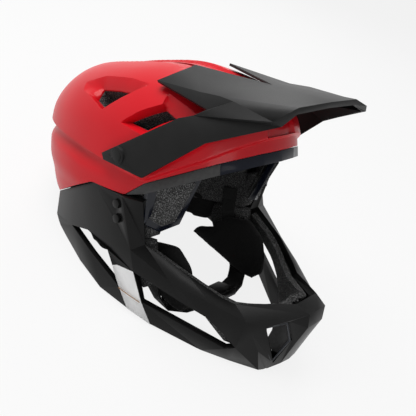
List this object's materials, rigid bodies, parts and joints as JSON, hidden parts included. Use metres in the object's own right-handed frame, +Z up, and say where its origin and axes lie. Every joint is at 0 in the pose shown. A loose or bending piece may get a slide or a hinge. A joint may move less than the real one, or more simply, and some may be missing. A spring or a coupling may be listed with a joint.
{
  "type": "downhill bike full face helmet",
  "caption": "Full face cycling helmet: vented shell over foam, faceted chin bar, tilting visor, rear fit dial, cheek pads and chin strap.",
  "frame": {"origin": "centre of the bounding box on the table under the resting helmet", "axes": "+X to the wearer's left, +Y to the back of the helmet, +Z up; the helmet rests on its chin and nape"},
  "size_m": [0.2144, 0.3784, 0.2499],
  "materials": {
    "red_gloss": "gloss in-mould shell",
    "foam": "expanded foam, fine bead texture",
    "black_gloss": "gloss",
    "grey_rubber": "matte",
    "black_satin": "satin",
    "black_matte": "matte",
    "dark_screw": "black coated",
    "pad_fabric": "brushed knit over foam",
    "dial_rubber": "matte",
    "webbing": "woven webbing",
    "button_red": "gloss",
    "white_decal": "printed film"
  },
  "bodies": {
    "helmet": {"base_shell": "red_gloss", "brow_pad": "pad_fabric", "brow_trim": "black_gloss", "buckle": "black_satin", "cheek_block_left": "foam", "cheek_block_right": "foam", "cheek_pad_left": "pad_fabric", "cheek_pad_right": "pad_fabric", "chin_bar": "black_satin", "crown_pad": "pad_fabric", "decal_left": "white_decal", "decal_right": "white_decal", "head_liner": "foam", "neck_liner": "foam", "panel_screws": "black_satin", "raised_shell": "red_gloss", "rim_strip_left": "grey_rubber", "rim_strip_right": "grey_rubber", "strap_left": "webbing", "strap_right": "webbing", "visor_anchor_left": "black_satin", "visor_anchor_right": "black_satin", "visor_screw_left": "dark_screw", "visor_screw_right": "dark_screw"},
    "visor": {"visor": "black_matte"},
    "cradle": {"dial_housing": "black_satin", "fit_cradle": "black_satin"},
    "dial": {"fit_dial": "dial_rubber"},
    "button": {"buckle_button": "button_red"}
  },
  "joints": [
    {"name": "visor_tilt", "type": "hinge", "parent": "helmet", "child": "visor", "pos_m": [0, 0.00832, 0.14013], "axis": [-1, 0, 0], "range_deg": [0, 8]},
    {"name": "fit_dial_turn", "type": "hinge", "parent": "cradle", "child": "dial", "pos_m": [0, 0.1222, 0.02048], "axis": [0, 0.8942, -0.4477], "range_deg": [0, 270]},
    {"name": "fit_slide", "type": "slide", "parent": "helmet", "child": "cradle", "axis": [0, -0.8942, 0.4477], "range_m": [0, 0.008]},
    {"name": "buckle_release", "type": "slide", "parent": "helmet", "child": "button", "axis": [0, 0.4477, 0.8942], "range_m": [0, 0.0012], "stiffness_N_per_m": 900, "springref_m": -0.001}
  ],
  "couplings": [
    {"joint": "fit_dial_turn", "follows": "fit_slide", "rad_per_m": 589}
  ]
}
